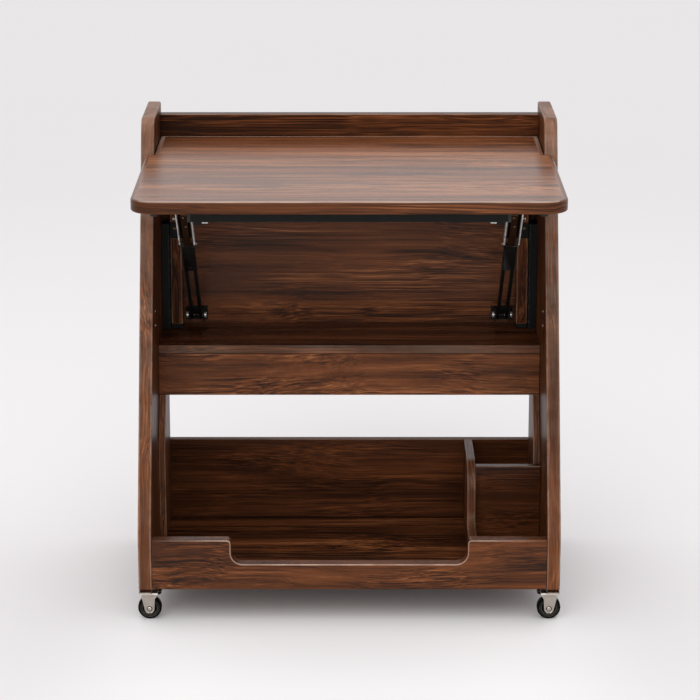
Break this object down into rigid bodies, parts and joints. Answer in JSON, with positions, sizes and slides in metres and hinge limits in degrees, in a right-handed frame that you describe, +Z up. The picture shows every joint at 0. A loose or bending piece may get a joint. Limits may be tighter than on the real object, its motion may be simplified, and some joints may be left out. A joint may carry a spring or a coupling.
{
  "type": "kids desk",
  "caption": "Small rolling desk of dark wood-grain board: slanted side panels, a T-shaped desktop that lifts on slides and telescoping stays, an open compartment and a low divided tray.",
  "frame": {"origin": "on the floor, under the middle of the overall box with the desktop down", "axes": "+Z up, the front edge of the desktop faces -Y, +X to the right of someone facing the front"},
  "size_m": [0.574, 0.47, 0.652],
  "materials": {
    "walnut": "satin dark walnut-grain laminate on board",
    "black_steel": "satin black powder coat",
    "bright_steel": "bright zinc plate",
    "nickel": "bright nickel plate",
    "wheel_black": "satin black moulded plastic",
    "bumper_rubber": "matt black rubber"
  },
  "bodies": {
    "frame": {"left_side_panel": "walnut", "right_side_panel": "walnut", "gallery_rail": "walnut", "compartment_back_panel": "walnut", "compartment_shelf": "walnut", "compartment_apron": "walnut", "left_inner_upright": "walnut", "right_inner_upright": "walnut", "lower_back_panel": "walnut", "lower_shelf": "walnut", "lower_front_rail": "walnut", "partition": "walnut", "pocket_front": "walnut", "left_slide_rail": "black_steel", "right_slide_rail": "black_steel", "left_stay_bracket": "black_steel", "right_stay_bracket": "black_steel", "left_stay_pin": "bright_steel", "right_stay_pin": "bright_steel", "front_left_caster_plate": "nickel", "front_right_caster_plate": "nickel", "rear_left_caster_plate": "nickel", "rear_right_caster_plate": "nickel"},
    "top": {"desktop": "walnut", "left_slide_runner": "black_steel", "right_slide_runner": "black_steel", "left_lift_post": "walnut", "right_lift_post": "walnut", "left_post_foot": "black_steel", "right_post_foot": "black_steel", "left_post_bracket": "black_steel", "right_post_bracket": "black_steel", "left_post_cleat": "walnut", "right_post_cleat": "walnut", "stiffener_bar": "black_steel", "left_stay_hanger": "bright_steel", "right_stay_hanger": "bright_steel", "left_hanger_pin": "bright_steel", "right_hanger_pin": "bright_steel", "left_bumper": "bumper_rubber", "right_bumper": "bumper_rubber"},
    "left_fork": {"left_stay_fork": "black_steel"},
    "right_fork": {"right_stay_fork": "black_steel"},
    "left_channel": {"left_stay_channel": "bright_steel"},
    "right_channel": {"right_stay_channel": "bright_steel"},
    "front_left_swivel": {"front_left_caster_fork": "nickel", "front_left_caster_axle": "nickel"},
    "front_right_swivel": {"front_right_caster_fork": "nickel", "front_right_caster_axle": "nickel"},
    "rear_left_swivel": {"rear_left_caster_fork": "nickel", "rear_left_caster_axle": "nickel"},
    "rear_right_swivel": {"rear_right_caster_fork": "nickel", "rear_right_caster_axle": "nickel"},
    "front_left_wheel": {"front_left_caster_wheel": "wheel_black"},
    "front_right_wheel": {"front_right_caster_wheel": "wheel_black"},
    "rear_left_wheel": {"rear_left_caster_wheel": "wheel_black"},
    "rear_right_wheel": {"rear_right_caster_wheel": "wheel_black"},
    "front_left_pedal": {"front_left_brake_pedal": "wheel_black"},
    "front_right_pedal": {"front_right_brake_pedal": "wheel_black"}
  },
  "joints": [
    {"name": "top_lift", "type": "slide", "parent": "frame", "child": "top", "axis": [0, 0, 1], "range_m": [0, 0.1]},
    {"name": "left_fork_swing", "type": "hinge", "parent": "frame", "child": "left_fork", "pos_m": [-0.2196, 0.207, 0.3465], "axis": [-1, 0, 0], "range_deg": [0, 10.5]},
    {"name": "right_fork_swing", "type": "hinge", "parent": "frame", "child": "right_fork", "pos_m": [0.2196, 0.207, 0.3465], "axis": [-1, 0, 0], "range_deg": [0, 10.5]},
    {"name": "left_channel_swing", "type": "hinge", "parent": "top", "child": "left_channel", "pos_m": [-0.2196, -0.083, 0.578], "axis": [-1, 0, 0], "range_deg": [0, 10.5]},
    {"name": "right_channel_swing", "type": "hinge", "parent": "top", "child": "right_channel", "pos_m": [0.2196, -0.083, 0.578], "axis": [-1, 0, 0], "range_deg": [0, 10.5]},
    {"name": "front_left_caster_turn", "type": "hinge", "parent": "frame", "child": "front_left_swivel", "pos_m": [-0.276, -0.099, 0.0382], "axis": [0, 0, 1], "continuous": true},
    {"name": "front_right_caster_turn", "type": "hinge", "parent": "frame", "child": "front_right_swivel", "pos_m": [0.276, -0.099, 0.0382], "axis": [0, 0, 1], "continuous": true},
    {"name": "rear_left_caster_turn", "type": "hinge", "parent": "frame", "child": "rear_left_swivel", "pos_m": [-0.276, 0.211, 0.0382], "axis": [0, 0, 1], "continuous": true},
    {"name": "rear_right_caster_turn", "type": "hinge", "parent": "frame", "child": "rear_right_swivel", "pos_m": [0.276, 0.211, 0.0382], "axis": [0, 0, 1], "continuous": true},
    {"name": "front_left_wheel_roll", "type": "hinge", "parent": "front_left_swivel", "child": "front_left_wheel", "pos_m": [-0.271, -0.099, 0.016], "axis": [0, 1, 0], "continuous": true},
    {"name": "front_right_wheel_roll", "type": "hinge", "parent": "front_right_swivel", "child": "front_right_wheel", "pos_m": [0.271, -0.099, 0.016], "axis": [0, 1, 0], "continuous": true},
    {"name": "rear_left_wheel_roll", "type": "hinge", "parent": "rear_left_swivel", "child": "rear_left_wheel", "pos_m": [-0.271, 0.211, 0.016], "axis": [0, 1, 0], "continuous": true},
    {"name": "rear_right_wheel_roll", "type": "hinge", "parent": "rear_right_swivel", "child": "rear_right_wheel", "pos_m": [0.271, 0.211, 0.016], "axis": [0, 1, 0], "continuous": true},
    {"name": "front_left_brake_tip", "type": "hinge", "parent": "front_left_swivel", "child": "front_left_pedal", "pos_m": [-0.25985, -0.099, 0.0374], "axis": [0, 1, 0], "range_deg": [0, 15]},
    {"name": "front_right_brake_tip", "type": "hinge", "parent": "front_right_swivel", "child": "front_right_pedal", "pos_m": [0.25985, -0.099, 0.0374], "axis": [0, -1, 0], "range_deg": [0, 15]}
  ],
  "couplings": [
    {"joint": "left_fork_swing", "follows": "top_lift", "rad_per_m": 1.784},
    {"joint": "right_fork_swing", "follows": "top_lift", "rad_per_m": 1.784},
    {"joint": "left_channel_swing", "follows": "top_lift", "rad_per_m": 1.784},
    {"joint": "right_channel_swing", "follows": "top_lift", "rad_per_m": 1.784}
  ]
}
